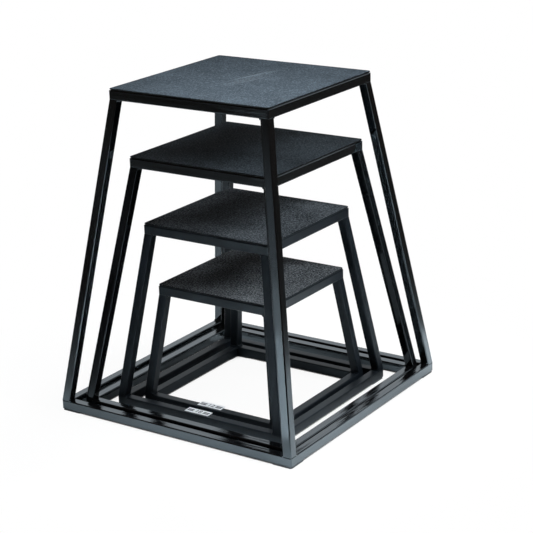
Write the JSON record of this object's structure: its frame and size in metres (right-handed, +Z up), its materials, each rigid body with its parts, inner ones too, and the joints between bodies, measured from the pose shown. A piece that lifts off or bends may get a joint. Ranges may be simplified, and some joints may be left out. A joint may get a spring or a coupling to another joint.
{
  "type": "plyo box",
  "caption": "Nested set of open square-tube steel jump boxes with splayed legs, welded base frames, and flat step decks faced with a gritty rubber mat.",
  "frame": {"origin": "on the floor, under the middle of the largest box", "axes": "+Z up; -Y is the front of the set and +X is to the right seen from the front"},
  "size_m": [0.643, 0.643, 0.762],
  "materials": {
    "frame": "semi-gloss black powder coat on welded steel tube",
    "deck_plate": "black powder coat on sheet steel",
    "deck_mat": "grit-faced anti-slip rubber, charcoal",
    "feet": "plain black rubber"
  },
  "bodies": {
    "box_12": {"box_12_base_back_rail": "frame", "box_12_base_front_rail": "frame", "box_12_base_left_rail": "frame", "box_12_base_right_rail": "frame", "box_12_deck_back_rail": "frame", "box_12_deck_front_rail": "frame", "box_12_deck_left_rail": "frame", "box_12_deck_mat": "deck_mat", "box_12_deck_plate": "deck_plate", "box_12_deck_right_rail": "frame", "box_12_feet": "feet", "box_12_leg_back_left": "frame", "box_12_leg_back_right": "frame", "box_12_leg_front_left": "frame", "box_12_leg_front_right": "frame"},
    "box_18": {"box_18_base_back_rail": "frame", "box_18_base_front_rail": "frame", "box_18_base_left_rail": "frame", "box_18_base_right_rail": "frame", "box_18_deck_back_rail": "frame", "box_18_deck_front_rail": "frame", "box_18_deck_left_rail": "frame", "box_18_deck_mat": "deck_mat", "box_18_deck_plate": "deck_plate", "box_18_deck_right_rail": "frame", "box_18_feet": "feet", "box_18_leg_back_left": "frame", "box_18_leg_back_right": "frame", "box_18_leg_front_left": "frame", "box_18_leg_front_right": "frame"},
    "box_24": {"box_24_base_back_rail": "frame", "box_24_base_front_rail": "frame", "box_24_base_left_rail": "frame", "box_24_base_right_rail": "frame", "box_24_deck_back_rail": "frame", "box_24_deck_front_rail": "frame", "box_24_deck_left_rail": "frame", "box_24_deck_mat": "deck_mat", "box_24_deck_plate": "deck_plate", "box_24_deck_right_rail": "frame", "box_24_feet": "feet", "box_24_leg_back_left": "frame", "box_24_leg_back_right": "frame", "box_24_leg_front_left": "frame", "box_24_leg_front_right": "frame"},
    "box_30": {"box_30_base_back_rail": "frame", "box_30_base_front_rail": "frame", "box_30_base_left_rail": "frame", "box_30_base_right_rail": "frame", "box_30_deck_back_rail": "frame", "box_30_deck_front_rail": "frame", "box_30_deck_left_rail": "frame", "box_30_deck_mat": "deck_mat", "box_30_deck_plate": "deck_plate", "box_30_deck_right_rail": "frame", "box_30_feet": "feet", "box_30_leg_back_left": "frame", "box_30_leg_back_right": "frame", "box_30_leg_front_left": "frame", "box_30_leg_front_right": "frame"}
  },
  "joints": [
    {"name": "lift_18", "type": "slide", "parent": "box_12", "child": "box_18", "axis": [0, 0, 1], "range_m": [0, 0.35]},
    {"name": "lift_24", "type": "slide", "parent": "box_18", "child": "box_24", "axis": [0, 0, 1], "range_m": [0, 0.5]},
    {"name": "lift_30", "type": "slide", "parent": "box_24", "child": "box_30", "axis": [0, 0, 1], "range_m": [0, 0.66]}
  ]
}
